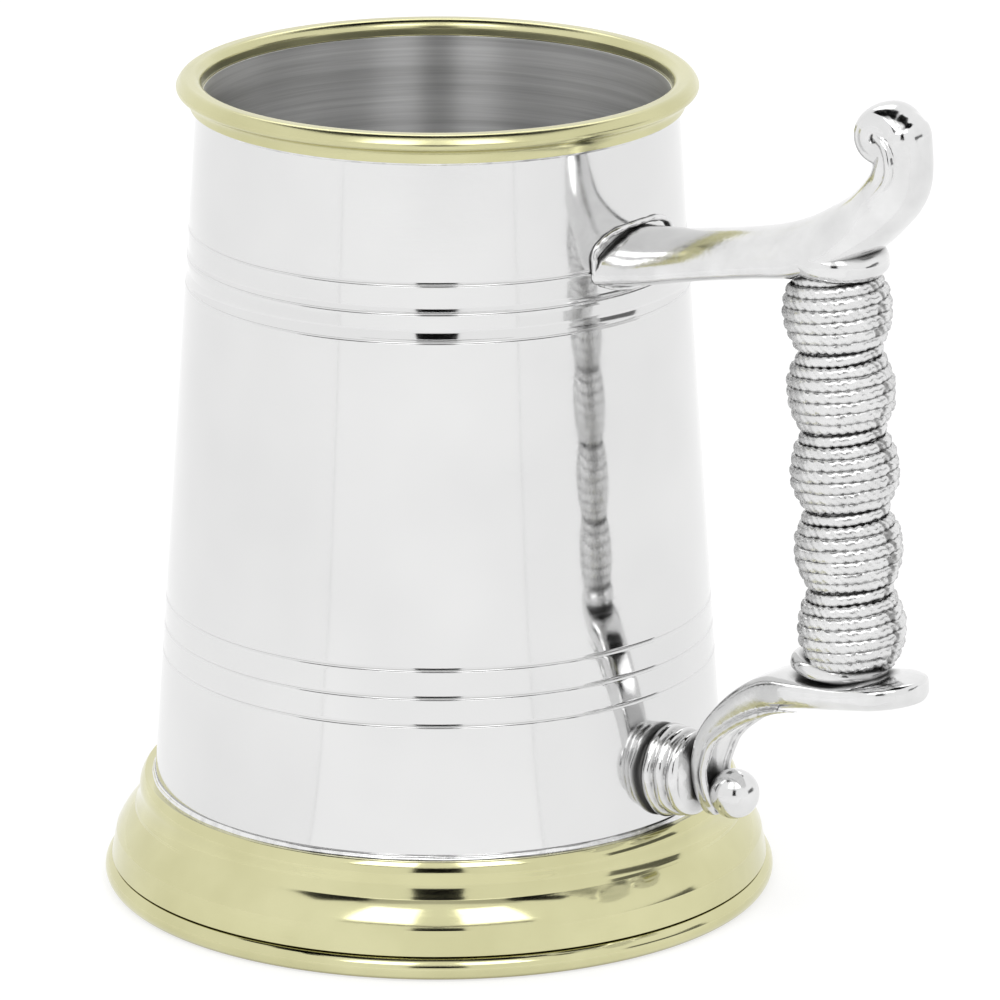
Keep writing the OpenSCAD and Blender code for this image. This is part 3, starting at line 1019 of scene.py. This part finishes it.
def dark_cards(azimuth):
    """The camera's own dark outline, the softboxes' frames, a doorway and the ceiling."""
    black = black_card()
    card("camera_card", azimuth, 9.5, 8, 31, 1.5, black)
    window("left_frame", azimuth, (-36, 0), (31.5, 33), 1.52, black)
    window("right_frame", azimuth, (0, 36), (31.5, 33), 1.52, black)
    window("doorway", azimuth, (66, 100), (4, 15), 1.6, glow("doorway", 0.16))
    ceiling_z, half_w = 1.7, 1
    front, back = ceiling_z / tan(radians(75)), ceiling_z / tan(radians(62))
    ahead = Vector((sin(azimuth), -cos(azimuth), 0))
    across = Vector((cos(azimuth), sin(azimuth), 0)) * half_w
    near, far = Vector((0, 0, ceiling_z)) + ahead * front, Vector((0, 0, ceiling_z)) - ahead * back
    panel("ceiling_card", [near - across, near + across, far + across, far - across], black)


def softboxes(azimuth):
    """Two bright panels either side of the camera, and a dim strip of wall above them."""
    bright = glow("softbox_glow", 3.4)
    for name, bearings in (("left_softbox", (-36, -9.5)), ("right_softbox", (9.5, 36))):
        window(name, azimuth, bearings, (35.5, 61), 1.5, bright)
    window("dim_front", azimuth, (-50, 50), (62, 74), 1.55, glow("dim_wall", 0.6))


def paper(azimuth):
    """A sheet of bright paper in front of the tankard, whose edges make faint lines on the drum; a dimmer
    strip along each edge is a painted shadow.
    """
    # The dimmer strips along the paper's edges are painted shadow
    bright, edge = glow("paper_glow", 1.13), glow("paper_edge_shadow", 0.93)
    near, far, z = 0.1, 1.3, 0.0002
    for name, left, right, material in (
        ("paper", -43, 35, bright),
        ("paper_left_edge", -43.6, -43, edge),
        ("paper_right_edge", 35, 35.6, edge)
    ):
        corners = [(left, near), (right, near), (right, far), (left, far)]
        panel(name, [level(azimuth, bearing, distance, z) for bearing, distance in corners], material)


def back_light(azimuth):
    """A soft lamp above and behind."""
    data = bpy.data.lights.new("back_light", "AREA")
    data.shape = "RECTANGLE"
    data.size, data.size_y = 1, 0.5
    data.energy = 2
    lamp = bpy.data.objects.new("back_light", data)
    lamp.location = toward(azimuth, 180, 50, 1.6)
    lamp.rotation_euler = (lamp.location - Vector((0, 0, AIM_Z))).to_track_quat("Z", "Y").to_euler()
    scene.collection.objects.link(lamp)


def world():
    """Even white light from all round."""
    made = bpy.data.worlds.new("studio")
    made.use_nodes = True
    background = made.node_tree.nodes["Background"].inputs
    background["Color"].default_value = (1, 1, 1, 1)
    background["Strength"].default_value = 1.08
    scene.world = made


def floor():
    """A plain pale floor, a hair under the tankard."""
    half, under = 6, 0.0003
    mesh = bpy.data.meshes.new("floor")
    corners = [(-half, -half, 0), (half, -half, 0), (half, half, 0), (-half, half, 0)]
    mesh.from_pydata(corners, [], [(0, 1, 2, 3)])
    mesh.materials.append(pale_floor())
    made = bpy.data.objects.new("floor", mesh)
    made.location.z = -under
    scene.collection.objects.link(made)


def studio(azimuth):
    dark_cards(azimuth)
    softboxes(azimuth)
    paper(azimuth)
    back_light(azimuth)
    world()
    floor()
    scene.view_settings.view_transform = "Standard"


studio(camera())
drum()
rim()
rim_solder()
foot()
foot_bead()
foot_solder()
thumb_arm()
upper_pad()
ferrules()
grip_binding()
lower_bracket()
scroll_ball()
reeded_boss()

for node, material in (("drum_floor", INSIDE), ("grip_core", ROPE)):
    kept = frame["nodes"][node]
    kept.data.materials.clear()
    kept.data.materials.append(material)
